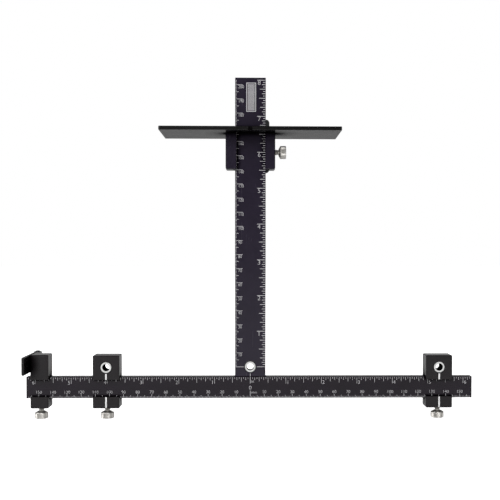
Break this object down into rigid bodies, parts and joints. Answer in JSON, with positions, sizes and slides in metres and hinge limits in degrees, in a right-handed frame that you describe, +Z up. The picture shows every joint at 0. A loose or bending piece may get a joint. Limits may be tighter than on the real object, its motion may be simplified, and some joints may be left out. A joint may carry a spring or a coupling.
{
  "type": "cabinet hardware drilling jig",
  "caption": "Inverted-T drilling jig: graduated rules, sliding drill guides, swinging end stop and an adjustable edge fence, clamped by knurled thumbscrews.",
  "frame": {"origin": "where the centre drill guide's axis meets the scale face, the zero of both scales", "axes": "+X along the horizontal rule to the reader's right, +Y away from the reader into the work, +Z up along the vertical rule"},
  "size_m": [0.3174, 0.0465, 0.2418],
  "materials": {
    "black_anodised": "satin black anodised",
    "black_anodised_plate": "fine matt black anodised",
    "guide_steel": "ground and hardened",
    "nickel_knurl": "bright nickel plated",
    "black_oxide": "black oxide",
    "spring_steel": "plain",
    "tip_nylon": "natural nylon",
    "dowel_steel": "ground",
    "gib_black": "moulded black acetal"
  },
  "bodies": {
    "rules": {"horizontal_rule": "black_anodised", "vertical_rule": "black_anodised", "joint_screws": "black_oxide", "alignment_dowels": "dowel_steel", "center_drill_guide": "guide_steel"},
    "left_guide": {"left_guide_block": "black_anodised", "left_drill_guide": "guide_steel"},
    "right_guide": {"right_guide_block": "black_anodised", "right_drill_guide": "guide_steel"},
    "end_stop": {"stop_block": "black_anodised", "hinge_pin": "spring_steel", "friction_washer": "spring_steel"},
    "swing_plate": {"swing_stop": "black_anodised_plate"},
    "fence": {"fence_slider": "black_anodised", "fence_plate": "black_anodised_plate", "fence_screws": "black_oxide", "fence_gib": "gib_black"},
    "left_screw": {"left_thumbscrew": "nickel_knurl", "left_screw_tip": "tip_nylon"},
    "right_screw": {"right_thumbscrew": "nickel_knurl", "right_screw_tip": "tip_nylon"},
    "stop_screw": {"stop_thumbscrew": "nickel_knurl", "stop_screw_tip": "tip_nylon"},
    "fence_screw": {"fence_thumbscrew": "nickel_knurl", "fence_screw_tip": "tip_nylon"}
  },
  "joints": [
    {"name": "left_guide_slide", "type": "slide", "parent": "rules", "child": "left_guide", "axis": [1, 0, 0], "range_m": [-0.0161, 0.0811]},
    {"name": "right_guide_slide", "type": "slide", "parent": "rules", "child": "right_guide", "axis": [1, 0, 0], "range_m": [-0.1138, 0.01475]},
    {"name": "end_stop_slide", "type": "slide", "parent": "rules", "child": "end_stop", "axis": [1, 0, 0], "range_m": [-0.0036, 0.012]},
    {"name": "fence_slide", "type": "slide", "parent": "rules", "child": "fence", "axis": [0, 0, 1], "range_m": [-0.127, 0.036]},
    {"name": "swing_stop_hinge", "type": "hinge", "parent": "end_stop", "child": "swing_plate", "pos_m": [-0.1554, 0.0195, 0.0024], "axis": [0, 0, -1], "range_deg": [0, 180]},
    {"name": "left_screw_turn", "type": "hinge", "parent": "left_guide", "child": "left_screw", "pos_m": [-0.1019, 0.00317, -0.029], "axis": [0, 0, -1], "range_deg": [0, 360]},
    {"name": "right_screw_turn", "type": "hinge", "parent": "right_guide", "child": "right_screw", "pos_m": [0.1346, 0.00317, -0.029], "axis": [0, 0, -1], "range_deg": [0, 360]},
    {"name": "stop_screw_turn", "type": "hinge", "parent": "end_stop", "child": "stop_screw", "pos_m": [-0.1488, 0.00317, -0.029], "axis": [0, 0, -1], "range_deg": [0, 360]},
    {"name": "fence_screw_turn", "type": "hinge", "parent": "fence", "child": "fence_screw", "pos_m": [0.0175, 0.00317, 0.15265], "axis": [1, 0, 0], "range_deg": [0, 360]}
  ]
}
